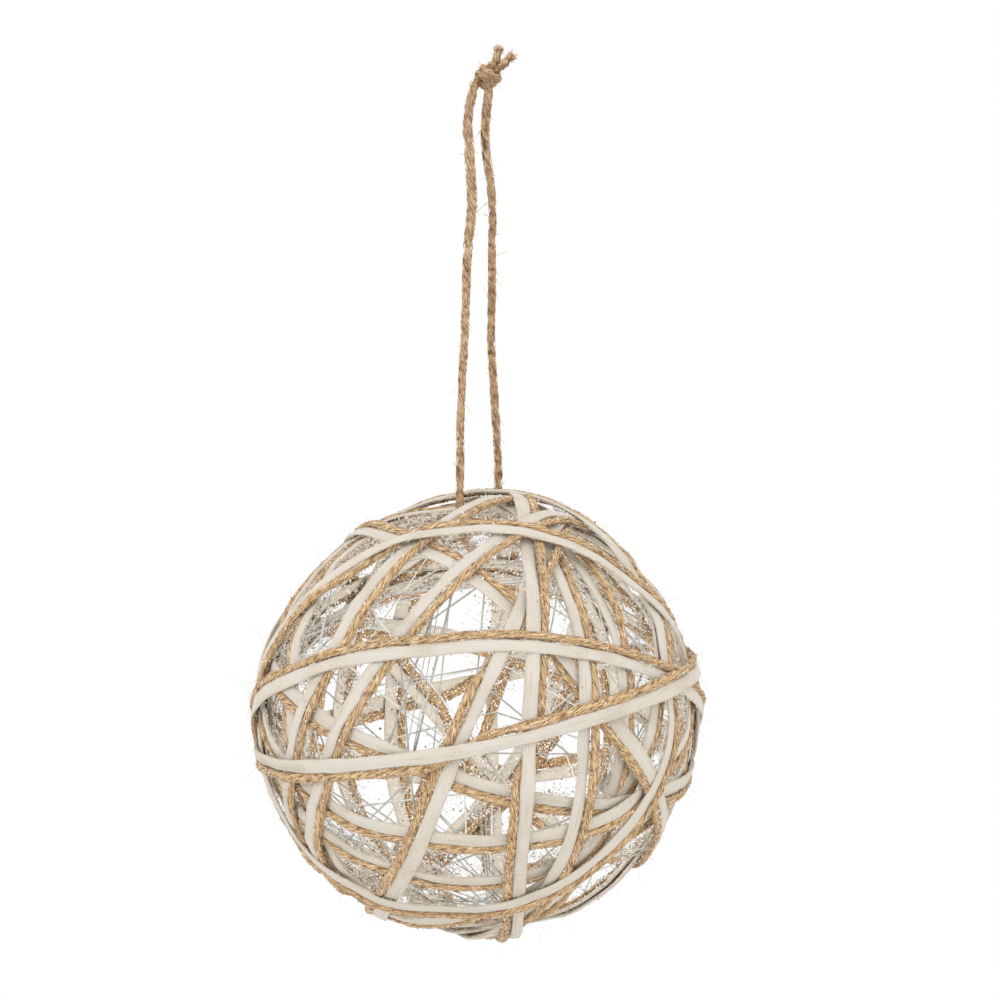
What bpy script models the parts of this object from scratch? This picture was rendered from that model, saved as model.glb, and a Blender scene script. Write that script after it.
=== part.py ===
"""Wire christmas bauble: an open ball wound from cord, twine and silver wire, on a jute loop.

The ball is a shell of closed turns. Each turn is a pair: a flat white paper cord and, beside it,
a jute twine, which here and there slips under the cord to its other side. Later turns pass over
earlier ones, so the shell is a few cords thick where they meet. Thin silver wires run in
straight stretches from cord to cord just inside the shell. A loop of the same twine goes under
the top turns and is tied in a knot with two short ends.

Units are metres and +Z is up. The origin is inside the top of the loop, where a twig or a hook
carries the bauble, and the ball hangs below it.
"""

import math

import bpy
import numpy as np
from mathutils import Vector

COLLECTION = "wire_christmas_bauble"
MM = 0.001

# The ball
BALL_CENTRE = Vector((-0.0005, 0.0, -0.1408))
SHELL_RADIUS = 48.4 * MM      # middle of the wound shell
STRIP_WIDTH = 3.0 * MM        # flat white paper cord
STRIP_THICKNESS = 0.8 * MM
TWINE_WIDTH = 2.2 * MM        # jute twine, pressed a little flat where it is wound
TWINE_THICKNESS = 1.4 * MM
PAIR_GAP = 0.45 * MM          # between the cord and the twine of one turn
LAYER_GAP = 0.55 * MM         # between one turn and the next over it
CROSSING_MARGIN = 0.4 * MM    # how far a turn is lifted past the edge of what it crosses
CLIMB = 0.3                   # steepest slope of a cord on its way over another
STATIONS = 180                # places round a turn where its height is worked out
DEGREES = np.arange(STATIONS) * 360 / STATIONS    # past the foremost place of the turn
FRONT = np.array((0.0, -1.0, 0.0))
CHORD_ERROR = 0.5 * MM        # a turn bends again where a chord would miss its line by more

# The turns, first wound first, as the ball is seen from the front: the clock angles in degrees at
# which the white cord comes round the side of the ball and goes back round it, how far from the
# ball's middle it crosses the front in millimetres, and the side of it on which the twine starts.
# Distances and sides are positive towards the clock angle halfway along the crossing. Last is how
# many degrees past its foremost place the twine slips under the cord to the other side, or None.
TURNS = (
    (193, 340, 42.5, 1, None),
    (170, 285, 48.0, 1, None),
    (266, 96, -36.0, -1, None),
    (258, 52, 48.3, 1, None),
    (1, 180, 33.0, 1, None),
    (36, 213, 37.0, 1, None),
    (288, 105, -14.0, -1, None),
    (276, 81, -27.0, -1, None),
    (325, 126, 23.0, 1, 0),
    (4, 179, 23.5, 1, None),
    (230, 11, 36.5, -1, None),
    (206, 22, 1.0, 1, 18),
    (10, 172, 11.5, 1, 9),
    (223, 28, 25.5, -1, None),
    (10, 260, 39.0, 1, None),
    (276, 86, 40.5, -1, -26),
    (270, 89, 16.0, 1, None),
    (260, 78, -5.5, -1, -6),
)
SWAP = 8                      # degrees on either side of that place over which it slips under

# The silver wire net
WIRE_COUNT = 6
WIRE_STRETCHES = 20           # most straight stretches in one wire
WIRE_LEAST = 12               # a wire that gets stuck before this many is not laid
WIRE_DIAMETER = 0.45 * MM
WIRE_CLEARANCE = 0.3 * MM     # to the cords and to other wires
WIRE_STRETCH = (28 * MM, 52 * MM)
WIRE_TURN = math.radians(62)  # most that a wire turns aside at a cord
WIRE_TRIES = 150              # failed tries in a row before a wire ends
WIRE_SEED = 5
SAMPLE_STEP = 1.2 * MM        # between the places where a stretch is checked

# The hanging loop
LOOP_DIAMETER = 2.0 * MM
LOOP_SPACING = 4.6 * MM       # between the points of its smooth line
FRONT_STRAND = (
    (0.2, 0.5, -104.0), (-1.8, -3.2, -103.4), (-3.5, -6.0, -101.6), (-4.4, -7.7, -98.6),
    (-4.7, -8.3, -95.0), (-4.7, -8.4, -90.5), (-4.6, -8.3, -84.0), (-4.6, -7.9, -76.7),
    (-4.2, -7.0, -65.5),
    (-3.6, -6.3, -54.7), (-3.3, -5.2, -45.0), (-2.9, -4.0, -34.9), (-2.0, -3.0, -26.3),
    (-2.3, -2.2, -19.1), (-2.6, -1.5, -13.3), (-3.0, -1.0, -9.0), (-2.6, -0.5, -4.1),
    (-1.7, -0.1, -0.1),
)
BACK_STRAND = (
    (0.6, 1.6, -103.8), (2.0, 5.4, -102.9), (3.2, 9.0, -100.0), (3.7, 11.0, -95.4),
    (3.9, 11.2, -89.5), (3.9, 10.6, -84.0), (3.6, 9.8, -78.5), (3.0, 8.6, -68.5),
    (2.3, 7.2, -56.2), (2.5, 5.8, -45.0), (2.5, 4.6, -36.2), (2.6, 3.4, -26.3),
    (1.9, 2.4, -19.1), (1.1, 1.7, -13.3), (1.0, 1.2, -9.0), (1.3, 0.6, -4.1),
    (1.7, 0.2, -0.9),
)
KNOT_CENTRE = (1.6 * MM, 0.0, 3.1 * MM)
KNOT_HALF_SIZES = (3.1 * MM, 2.6 * MM, 2.7 * MM)
KNOT_SEGMENTS = 14
KNOT_RINGS = 8
END_DIAMETER = 1.9 * MM
LEFT_END = ((3.3, 0.2, 6.3), (3.7, 0.3, 8.0), (4.1, 0.3, 9.6))
RIGHT_END = ((4.6, -0.3, 5.2), (5.9, -0.5, 6.6), (7.3, -0.6, 7.9))


def clear_scene():
    for old in list(bpy.data.objects):
        bpy.data.objects.remove(old, do_unlink=True)


def principled(name, colour, roughness, metallic=0.0):
    material = bpy.data.materials.new(name)
    material.use_nodes = True
    shader = material.node_tree.nodes["Principled BSDF"]
    shader.inputs["Base Color"].default_value = (*colour, 1.0)
    shader.inputs["Roughness"].default_value = roughness
    shader.inputs["Metallic"].default_value = metallic
    return material


def unit(rows):
    """Rows of vectors, each scaled to length one."""
    return rows / np.linalg.norm(rows, axis=-1, keepdims=True)


# ---- The wound turns ----

class Strand:
    """One closed turn of cord or twine, as the directions from the ball's centre it runs along."""

    def __init__(self, name, axis, offsets, width, thickness, material):
        self.name = name
        self.width = width
        self.thickness = thickness
        self.material = material
        front = unit(FRONT - axis * (axis @ FRONT))
        ahead = np.cross(axis, front)
        angles = np.radians(DEGREES)[:, None]
        lift = offsets[:, None] / SHELL_RADIUS
        ring = front * np.cos(angles) + ahead * np.sin(angles)
        self.directions = lift * axis + np.sqrt(1.0 - lift * lift) * ring
        self.radii = None

    def points(self):
        return self.directions * self.radii[:, None]


def ring_plane(start, end, middle):
    """Axis and offset of the flat ring that a turn follows round the ball."""
    crossing = (end - start) % 360
    halfway = math.radians(start + crossing / 2)
    sides = SHELL_RADIUS * math.cos(math.radians(crossing / 2))
    depth = math.sqrt(SHELL_RADIUS ** 2 - middle ** 2)
    axis = np.array((depth * math.sin(halfway), middle - sides, depth * math.cos(halfway)))
    length = float(np.linalg.norm(axis))
    return axis / length, sides * depth / length


def twine_sides(side, swap):
    """The side of its cord that a twine lies on, from the foremost place of the turn onwards."""
    if swap is None:
        return np.full(STATIONS, float(side))
    back = 180 - swap
    places = (0, SWAP, back - SWAP, back + SWAP, 360 - SWAP, 360)
    return side * np.interp((DEGREES - swap) % 360, places, (0, -1, -1, 1, 1, 0))


def make_strands(paper, jute):
    strands = []
    beside = (STRIP_WIDTH + TWINE_WIDTH) / 2 + PAIR_GAP
    for turn, (start, end, middle, side, swap) in enumerate(TURNS, start=1):
        axis, offset = ring_plane(start, end, middle * MM)
        offsets = offset + beside * twine_sides(side, swap)
        strands.append(Strand(f"jute_twine_{turn:02d}", axis, offsets,
                              TWINE_WIDTH, TWINE_THICKNESS, jute))
        strands.append(Strand(f"white_cord_{turn:02d}", axis, np.full(STATIONS, offset),
                              STRIP_WIDTH, STRIP_THICKNESS, paper))
    return strands


def eased(heights):
    """Let a height rise and fall no more steeply than CLIMB on either side of a crossing."""
    step = CLIMB * SHELL_RADIUS * 2.0 * math.pi / STATIONS
    reach = STATIONS // 4
    shifted = [np.roll(heights, k) - abs(k) * step for k in range(-reach, reach + 1)]
    return np.max(shifted, axis=0)


def pile_heights(strands):
    """How far each strand is lifted when they are laid on in this order, one over another."""
    heights = []
    for count, strand in enumerate(strands):
        height = np.zeros(STATIONS)
        for below, below_height in zip(strands[:count], heights):
            reach = (strand.width + below.width) / 2 + CROSSING_MARGIN
            over = strand.directions @ below.directions.T > math.cos(reach / SHELL_RADIUS)
            rise = (strand.thickness + below.thickness) / 2 + LAYER_GAP
            height = np.maximum(height, np.where(over, below_height + rise, 0.0).max(axis=1))
        heights.append(eased(height))
    return heights


def wind(strands):
    """Centre every crossing on the shell: half of it bulges out and half of it presses in."""
    outward = pile_heights(strands)
    inward = pile_heights(strands[::-1])[::-1]
    for strand, out, pressed in zip(strands, outward, inward):
        strand.radii = SHELL_RADIUS + (out - pressed) / 2


def chorded(points):
    """Corners of the straight chords that follow a closed line best, and their line again."""
    count = len(points)
    stations = corners(points, CHORD_ERROR)
    shares = np.eye(len(stations))
    shares = np.vstack((shares, shares[:1]))
    places = stations + [stations[0] + count]
    spread = np.stack([np.interp(range(count), places, share) for share in shares.T], axis=1)
    bends = np.linalg.lstsq(spread, points, rcond=None)[0]
    return bends, spread @ bends


def corners(points, error):
    """Stations at which a closed line needs a corner for its chords to stay within error."""
    count = len(points)
    half = count // 2
    kept = {0, half}
    spans = [(0, half), (half, count)]
    while spans:
        first, last = spans.pop()
        if last - first < 2:
            continue
        start, end = points[first], points[last % count]
        between = points[first + 1:last] - start
        along = unit(end - start)
        gaps = np.linalg.norm(between - np.outer(between @ along, along), axis=1)
        worst = int(gaps.argmax())
        if gaps[worst] > error:
            middle = first + 1 + worst
            kept.add(middle)
            spans += [(first, middle), (middle, last)]
    return sorted(kept)


def band(strand, collection):
    """A closed flat band that lies square to the ball's radius all the way round."""
    points, _ = chorded(strand.points())
    ahead = np.roll(points, -1, axis=0) - np.roll(points, 1, axis=0)
    aside = unit(np.cross(ahead, points)) * strand.width / 2
    count = len(points)
    edges = np.concatenate((points - aside, points + aside))
    faces = []
    for k in range(count):
        following = (k + 1) % count
        faces.append((k, k + count, following + count, following))
    mesh = bpy.data.meshes.new(strand.name)
    mesh.from_pydata([Vector(edge) for edge in edges], [], faces)
    mesh.materials.append(strand.material)
    mesh.update()
    piece = bpy.data.objects.new(strand.name, mesh)
    piece.location = BALL_CENTRE
    collection.objects.link(piece)
    shell = piece.modifiers.new("thickness", "SOLIDIFY")
    shell.thickness = strand.thickness
    shell.offset = 0.0
    return piece


# ---- Tubes: the silver wires and the loop ----

def tube(name, points, diameter, material, collection, location=(0.0, 0.0, 0.0), resolution=2):
    """A round cord or wire along a line of points, with closed ends."""
    curve = bpy.data.curves.new(name, "CURVE")
    curve.dimensions = "3D"
    spline = curve.splines.new("POLY")
    spline.points.add(len(points) - 1)
    for place, point in zip(spline.points, points):
        place.co = (*point, 1.0)
    curve.bevel_depth = diameter / 2
    curve.bevel_resolution = resolution
    curve.use_fill_caps = True
    curve.materials.append(material)
    piece = bpy.data.objects.new(name, curve)
    piece.location = location
    collection.objects.link(piece)
    return piece


def smooth_line(route, spacing):
    """Points an equal distance apart on a Catmull-Rom curve through a route in millimetres."""
    route = np.array(route) * MM
    padded = np.vstack((2 * route[0] - route[1], route, 2 * route[-1] - route[-2]))
    fine = []
    for a, b, c, d in zip(padded, padded[1:], padded[2:], padded[3:]):
        for t in np.linspace(0.0, 1.0, 24, endpoint=False):
            fine.append(0.5 * (2 * b + (c - a) * t + (2 * a - 5 * b + 4 * c - d) * t ** 2
                               + (3 * b - a - 3 * c + d) * t ** 3))
    fine = np.array(fine + [route[-1]])
    travelled = np.concatenate(((0.0,), np.linalg.norm(np.diff(fine, axis=0), axis=1).cumsum()))
    places = np.linspace(0.0, travelled[-1], round(travelled[-1] / spacing) + 1)
    return np.stack([np.interp(places, travelled, fine[:, k]) for k in range(3)], axis=1)


class Lining:
    """The inner face of the wound shell, and whatever already runs inside it."""

    def __init__(self, strands, loop):
        lines = [chorded(s.points())[1] for s in strands]
        radii = np.linalg.norm(np.concatenate(lines), axis=1)
        self.directions = unit(np.concatenate(lines))
        self.inner = radii - np.repeat([s.thickness / 2 for s in strands], STATIONS)
        self.reach = np.repeat([s.width / 2 for s in strands], STATIONS)
        self.loop = loop
        self.wires = np.empty((0, 3))

    def ceiling(self, directions):
        """Radius at which a wire still passes under the cords, for each direction."""
        reach = (self.reach + WIRE_DIAMETER / 2 + WIRE_CLEARANCE) / SHELL_RADIUS
        over = directions @ self.directions.T > np.cos(reach)
        inner = np.where(over, self.inner, 2 * SHELL_RADIUS).min(axis=1)
        return inner - WIRE_DIAMETER / 2 - WIRE_CLEARANCE

    def is_clear(self, line, ignored):
        """Whether a straight run of points stays under the cords and off everything laid so far."""
        radii = np.linalg.norm(line, axis=1)
        near = radii > self.inner.min() - WIRE_DIAMETER - WIRE_CLEARANCE
        if near.any():
            ceiling = self.ceiling(line[near] / radii[near, None])
            if (radii[near] > ceiling + 0.02 * MM).any():
                return False
        others = self.wires[:len(self.wires) - ignored]
        return is_apart(line, self.loop, LOOP_DIAMETER) and is_apart(line, others, WIRE_DIAMETER)


def is_apart(line, others, diameter):
    """Whether a wire along one row of points stays off whatever follows the other points."""
    if not len(others):
        return True
    gaps = np.linalg.norm(line[:, None] - others[None], axis=2)
    return gaps.min() > (WIRE_DIAMETER + diameter) / 2 + WIRE_CLEARANCE + SAMPLE_STEP / 4


def run_between(start, end):
    count = max(3, round(float(np.linalg.norm(end - start)) / SAMPLE_STEP))
    return start + (end - start) * np.linspace(0.0, 1.0, count)[:, None]


def lay_wire(lining, random):
    """One wire: straight stretches between places under the cords, wandering round the ball."""
    def anchor():
        direction = lining.directions[random.integers(len(lining.directions))]
        return direction * lining.ceiling(direction[None])[0]

    start = anchor()
    while not lining.is_clear(start[None], 0):
        start = anchor()
    points = [start]
    heading = unit(np.cross(start, random.normal(size=3)))
    previous = 0
    failures = 0
    while len(points) <= WIRE_STRETCHES and failures < WIRE_TRIES:
        failures += 1
        here = points[-1]
        there = anchor()
        step = there - here
        if not WIRE_STRETCH[0] < np.linalg.norm(step) < WIRE_STRETCH[1]:
            continue
        outward = unit(here)
        level = unit(step - outward * (step @ outward))
        if level @ heading < math.cos(WIRE_TURN):
            continue
        line = run_between(here, there)
        if not lining.is_clear(line, previous):
            continue
        lining.wires = np.concatenate((lining.wires, line))
        previous = len(line)
        failures = 0
        points.append(there)
        outward = unit(there)
        heading = unit(step - outward * (step @ outward))
    return points


def lay_wires(lining, random):
    """The whole net. A wire that is stuck too soon is taken out and begun elsewhere."""
    wires = []
    while len(wires) < WIRE_COUNT:
        before = lining.wires
        wire = lay_wire(lining, random)
        if len(wire) > WIRE_LEAST:
            wires.append(wire)
        else:
            lining.wires = before
    return wires


def knot(material, collection):
    """The plain outer shape of the overhand knot."""
    bpy.ops.mesh.primitive_uv_sphere_add(segments=KNOT_SEGMENTS, ring_count=KNOT_RINGS, radius=1.0,
                                         location=KNOT_CENTRE)
    piece = bpy.context.object
    piece.name = "loop_knot"
    piece.data.name = "loop_knot"
    piece.scale = KNOT_HALF_SIZES
    bpy.ops.object.transform_apply(location=False, rotation=False, scale=True)
    piece.data.shade_smooth()
    piece.data.materials.append(material)
    for home in list(piece.users_collection):
        home.objects.unlink(piece)
    collection.objects.link(piece)
    return piece


def main():
    clear_scene()
    collection = bpy.data.collections.new(COLLECTION)
    bpy.context.scene.collection.children.link(collection)
    paper = principled("white_paper_cord", (0.83, 0.80, 0.74), 0.75)
    jute = principled("jute_twine", (0.50, 0.33, 0.17), 0.85)
    silver = principled("silver_wire", (0.72, 0.72, 0.70), 0.35, metallic=1.0)

    strands = make_strands(paper, jute)
    wind(strands)
    for strand in strands:
        band(strand, collection)

    front = smooth_line(FRONT_STRAND, LOOP_SPACING)
    back = smooth_line(BACK_STRAND, LOOP_SPACING)
    tube("loop_strand_front", front, LOOP_DIAMETER, jute, collection)
    tube("loop_strand_back", back, LOOP_DIAMETER, jute, collection)
    knot(jute, collection)
    tube("loop_end_left", np.array(LEFT_END) * MM, END_DIAMETER, jute, collection)
    tube("loop_end_right", np.array(RIGHT_END) * MM, END_DIAMETER, jute, collection)

    loop_inside = np.concatenate((smooth_line(FRONT_STRAND, 1 * MM), smooth_line(BACK_STRAND, 1 * MM)))
    lining = Lining(strands, loop_inside - np.array(BALL_CENTRE))
    wires = lay_wires(lining, np.random.default_rng(WIRE_SEED))
    for number, wire in enumerate(wires, start=1):
        tube(f"silver_wire_{number}", wire, WIRE_DIAMETER, silver, collection, BALL_CENTRE,
             resolution=0)


if __name__ == "__main__":
    main()
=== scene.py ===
"""Wire christmas bauble: an open ball wound from white paper cord, jute twine and silver wire.

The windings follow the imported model's own turns, so every piece lies where its solid does. All
lengths are metres in the model's frame: +Z is up and the origin is inside the top of the loop.
"""

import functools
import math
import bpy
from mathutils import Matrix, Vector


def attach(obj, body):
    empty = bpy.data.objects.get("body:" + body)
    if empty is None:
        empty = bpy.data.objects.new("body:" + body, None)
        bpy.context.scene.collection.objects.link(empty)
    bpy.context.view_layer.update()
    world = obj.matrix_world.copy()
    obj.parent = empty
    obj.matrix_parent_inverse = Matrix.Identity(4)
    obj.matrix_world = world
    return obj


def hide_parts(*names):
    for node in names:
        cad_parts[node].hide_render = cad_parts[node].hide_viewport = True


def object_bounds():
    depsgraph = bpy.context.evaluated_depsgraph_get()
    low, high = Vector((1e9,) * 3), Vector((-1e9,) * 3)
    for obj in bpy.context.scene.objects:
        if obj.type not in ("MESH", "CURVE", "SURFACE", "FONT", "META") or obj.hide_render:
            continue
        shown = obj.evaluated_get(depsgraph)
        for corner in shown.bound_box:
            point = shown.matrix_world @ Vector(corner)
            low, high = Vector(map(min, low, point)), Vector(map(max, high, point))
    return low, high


bl_info = {
    "name": "Wire Christmas Bauble",
    "version": (1, 0, 0),
    "blender": (4, 5, 0),
    "location": "3D Viewport > Sidebar > Bauble",
    "description": "Winds an open christmas bauble from paper cord, jute twine and silver wire",
    "category": "Add Mesh",
}

import bpy
import numpy as np
from bpy.props import FloatProperty, FloatVectorProperty, IntProperty, PointerProperty

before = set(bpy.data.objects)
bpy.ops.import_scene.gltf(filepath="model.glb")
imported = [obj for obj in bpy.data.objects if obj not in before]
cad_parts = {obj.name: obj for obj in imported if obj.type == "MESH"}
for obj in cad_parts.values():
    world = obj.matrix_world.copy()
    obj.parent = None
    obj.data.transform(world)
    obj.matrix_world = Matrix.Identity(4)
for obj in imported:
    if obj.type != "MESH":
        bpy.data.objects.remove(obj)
MODEL_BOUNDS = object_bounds()

MM = 0.001
FULL_TURN = 2.0 * math.pi
once = functools.lru_cache(maxsize=None)    # for what is made once and used again

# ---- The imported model's windings ----

BALL_CENTRE = np.array((-0.0005, 0.0, -0.1408))
SHELL_RADIUS = 48.4 * MM
STRIP_WIDTH = 3.0 * MM
STRIP_THICKNESS = 0.8 * MM
TWINE_WIDTH = 2.2 * MM
TWINE_THICKNESS = 1.4 * MM
PAIR_GAP = 0.45 * MM
LAYER_GAP = 0.55 * MM
CROSSING_MARGIN = 0.4 * MM
CLIMB = 0.3
STATIONS = 180
DEGREES = np.arange(STATIONS) * 360 / STATIONS    # past the foremost place of a turn
FRONT = np.array((0.0, -1.0, 0.0))
CHORD_ERROR = 0.5 * MM

# The turns, first wound first, as the ball is seen from the front: the clock angles in degrees at
# which the white cord comes round the side of the ball and goes back round it, how far from the
# ball's middle it crosses the front in millimetres, and the side of it on which the twine starts.
# Distances and sides are positive towards the clock angle halfway along the crossing. Last is how
# many degrees past its foremost place the twine slips under the cord to the other side, or None.
TURNS = (
    (193, 340, 42.5, 1, None),
    (170, 285, 48.0, 1, None),
    (266, 96, -36.0, -1, None),
    (258, 52, 48.3, 1, None),
    (1, 180, 33.0, 1, None),
    (36, 213, 37.0, 1, None),
    (288, 105, -14.0, -1, None),
    (276, 81, -27.0, -1, None),
    (325, 126, 23.0, 1, 0),
    (4, 179, 23.5, 1, None),
    (230, 11, 36.5, -1, None),
    (206, 22, 1.0, 1, 18),
    (10, 172, 11.5, 1, 9),
    (223, 28, 25.5, -1, None),
    (10, 260, 39.0, 1, None),
    (276, 86, 40.5, -1, -26),
    (270, 89, 16.0, 1, None),
    (260, 78, -5.5, -1, -6),
)
SWAP = 8                      # degrees on either side of that place over which it slips under

# The loop's two strands, in millimetres, from under the top turns up to the knot
FRONT_STRAND = (
    (0.2, 0.5, -104.0), (-1.8, -3.2, -103.4), (-3.5, -6.0, -101.6), (-4.4, -7.7, -98.6),
    (-4.7, -8.3, -95.0), (-4.7, -8.4, -90.5), (-4.6, -8.3, -84.0), (-4.6, -7.9, -76.7),
    (-4.2, -7.0, -65.5),
    (-3.6, -6.3, -54.7), (-3.3, -5.2, -45.0), (-2.9, -4.0, -34.9), (-2.0, -3.0, -26.3),
    (-2.3, -2.2, -19.1), (-2.6, -1.5, -13.3), (-3.0, -1.0, -9.0), (-2.6, -0.5, -4.1),
    (-1.7, -0.1, -0.1),
)
BACK_STRAND = (
    (0.6, 1.6, -103.8), (2.0, 5.4, -102.9), (3.2, 9.0, -100.0), (3.7, 11.0, -95.4),
    (3.9, 11.2, -89.5), (3.9, 10.6, -84.0), (3.6, 9.8, -78.5), (3.0, 8.6, -68.5),
    (2.3, 7.2, -56.2), (2.5, 5.8, -45.0), (2.5, 4.6, -36.2), (2.6, 3.4, -26.3),
    (1.9, 2.4, -19.1), (1.1, 1.7, -13.3), (1.0, 1.2, -9.0), (1.3, 0.6, -4.1),
    (1.7, 0.2, -0.9),
)
# Where each strand goes on into the knot, and how thick the twine is along its height
INTO_KNOT = {"front": (-0.4, -0.1, 2.2), "back": (1.9, 0.1, 1.4)}
LOOSENESS = {
    "front": ((-104, -88, -70, -45, -30, -12, 0), (0.95, 0.86, 0.82, 0.88, 1.05, 1.1, 1.0)),
    "back": ((-104, -88, -70, -45, -30, -12, 0), (0.95, 0.88, 0.86, 0.82, 0.82, 0.95, 1.05)),
}
KNOT_CENTRE = np.array((1.6, 0.0, 3.1)) * MM
LEFT_END = ((3.3, 0.2, 6.3), (3.7, 0.3, 8.0), (4.1, 0.3, 9.6))
RIGHT_END = ((4.6, -0.3, 5.2), (5.9, -0.5, 6.6), (7.3, -0.6, 7.9))
STRANDS = {"front": FRONT_STRAND, "back": BACK_STRAND}
CUT_ENDS = {"left": LEFT_END, "right": RIGHT_END}

# ---- How the pieces are drawn finer than their solids ----

FINE_STATIONS = 360            # rings round a cord
TWINE_STATIONS = 400           # rings round a twine
SETTLE = 0.75                  # windings lie this much closer than their solids, so they touch
PROUD = 0.25 * MM              # and the whole winding this much further out
HIGHEST = 2.4 * MM             # no winding leaves the middle of the shell by more than this
BEND_STATIONS = 1.1            # how softly a turn bends at a corner
NESTLED = 0.84                 # each twine lies this much closer to its cord

# Section of the flat cord, in half widths and half thicknesses, with its fold line on the outside
CORD_ACROSS = (-1.0, -0.90, -0.55, -0.10, 0.34, 0.48, 0.62, 0.92, 1.0, 0.90, 0.35, -0.35, -0.90)
CORD_UP = (0.0, 0.62, 0.92, 1.0, 0.92, 0.60, 0.86, 0.60, 0.0, -0.62, -0.95, -0.95, -0.62)


# ---- Settings ----

def length(name, description, default, least, most):
    """A length that can be changed, in millimetres here and in metres in the panel."""
    return FloatProperty(name=name, description=description, default=default * MM,
                         min=least * MM, max=most * MM, precision=6, unit="LENGTH")


def number(name, description, default, least, most):
    return IntProperty(name=name, description=description, default=default, min=least, max=most)


def power(name, description, default, most):
    return FloatProperty(name=name, description=description, default=default, min=0.0, max=most,
                         precision=4, unit="POWER")


def tint(name, description, default):
    return FloatVectorProperty(name=name, description=description, default=default, size=3,
                               min=0.0, max=1.0, subtype="COLOR")


class BaubleWindings(bpy.types.PropertyGroup):
    cord_width: length("Cord Width", "Width of the flat white cord", 3.05, 1, 6)
    cord_thickness: length("Cord Thickness", "Thickness of the flat white cord", 0.85, 0.2, 3)
    twine_width: length("Twine Width", "Width of the twine as it lies on the ball", 2.05, 1, 5)
    twine_thickness: length("Twine Thickness", "Its thickness as it lies on the ball", 1.4, 0.5, 4)
    lay_length: length("Lay Length", "Length of one full twist of the two-ply twine", 9, 3, 30)
    wander: length("Wander", "How far a turn strays sideways from a true circle", 0.3, 0, 1)


class BaubleLoop(bpy.types.PropertyGroup):
    twine_diameter: length("Twine Diameter", "Diameter of the hanging loop's twine", 2, 1, 4)
    knot_twine: length("Knot Twine", "Diameter of the twine where the knot squeezes it", 1.9, 1, 3)


class BaubleWires(bpy.types.PropertyGroup):
    fine_thickness: length("Fine Wire", "Diameter of the finer silver wires", 0.3, 0.1, 1)
    fans: number("Fans", "Places where fine wire runs to and fro in a fan", 13, 0, 100)
    wires_in_fan: number("Wires in a Fan", "Fine wires in each fan", 5, 1, 20)
    threads: number("Tinsel Threads", "Curled tinsel threads in the windings", 2200, 0, 6000)


class BaubleGlitter(bpy.types.PropertyGroup):
    on_windings: number("Flakes on the Windings", "Glitter flakes on each turn", 3400, 0, 5000)
    loose: number("Loose Flakes", "Glitter flakes held among the wires", 68000, 0, 90000)
    flake_size: length("Flake Size", "Middle size of a flake, from side to side", 0.29, 0.1, 1.5)


class BaubleFibres(bpy.types.PropertyGroup):
    lying: number("Lying Fibres", "Short jute fibres that lie on the twine", 9000, 0, 10000)
    standing: number("Standing Fibres", "Jute fibres that stand off the ball", 1500, 0, 8000)
    thickness: length("Fibre Thickness", "Thickness of a loose fibre", 0.06, 0.02, 0.3)


class BaubleFinish(bpy.types.PropertyGroup):
    paper: tint("Paper", "Colour of the white paper cord", (0.73, 0.69, 0.62))
    # This colour is painted shade in the cord's folds and along its edges, and also the colour of its
    # tan dust
    paper_shade_and_dust: tint("Paper Shade", "Its colour in folds and worn places", (0.54, 0.45, 0.35))
    # The palest jute is partly the palest fibres' own colour and partly painted highlight on the raised
    # fibres of the twisted twine
    jute_light_and_highlight: tint("Jute Light", "Colour of the palest jute fibres", (0.93, 0.73, 0.48))
    jute_mid: tint("Jute", "Colour of most of the jute", (0.65, 0.425, 0.22))
    # The darkest jute is painted shade between the fibres of the twisted twine, and the loose fibres'
    # own dark colour
    jute_dark_and_shade: tint("Jute Dark", "Colour between the jute's fibres", (0.25, 0.135, 0.06))
    wire: tint("Wire", "Colour of the silver wire", (0.66, 0.68, 0.66))


class BaubleStudio(bpy.types.PropertyGroup):
    camera_distance: length("Camera Distance", "From the bauble to the camera", 2500, 500, 10000)
    view_width: length("View Width", "Width that the camera sees at the bauble", 225, 50, 2000)
    floor_drop: length("Floor Drop", "How far below the bauble the floor lies", 120, 0, 1000)
    glow_power: power("Inner Glow", "Power of the soft fill inside the ball", 0.07, 1.0)
    key_power: power("Key Light", "Power of the large soft light", 2.9, 100.0)


# ---- Small helpers ----

def unit(rows):
    """Rows of vectors, each scaled to length one."""
    return rows / np.linalg.norm(rows, axis=-1, keepdims=True)


def drift(random, places, waves, size):
    """A slow, closed, random wave of about the given size at each place from 0 to 1."""
    total = np.zeros(len(places))
    for wave in range(1, waves + 1):
        phase = random.uniform(0, FULL_TURN)
        total += random.normal() * np.sin(FULL_TURN * wave * places + phase) / math.sqrt(wave)
    return total * size / math.sqrt(sum(0.5 / wave for wave in range(1, waves + 1)))


def travelled(points):
    """Distance along a line at each of its points."""
    steps = np.linalg.norm(np.diff(points, axis=0), axis=1)
    return np.concatenate(((0.0,), steps.cumsum()))


def smooth_line(route, spacing):
    """Points an equal distance apart on a Catmull-Rom curve through a route in millimetres."""
    route = np.array(route) * MM
    padded = np.vstack((2 * route[0] - route[1], route, 2 * route[-1] - route[-2]))
    fine = []
    for a, b, c, d in zip(padded, padded[1:], padded[2:], padded[3:]):
        for t in np.linspace(0.0, 1.0, 24, endpoint=False):
            fine.append(0.5 * (2 * b + (c - a) * t + (2 * a - 5 * b + 4 * c - d) * t ** 2
                               + (3 * b - a - 3 * c + d) * t ** 3))
    fine = np.array(fine + [route[-1]])
    reached = travelled(fine)
    places = np.linspace(0.0, reached[-1], round(reached[-1] / spacing) + 1)
    return np.stack([np.interp(places, reached, fine[:, k]) for k in range(3)], axis=1)


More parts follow.
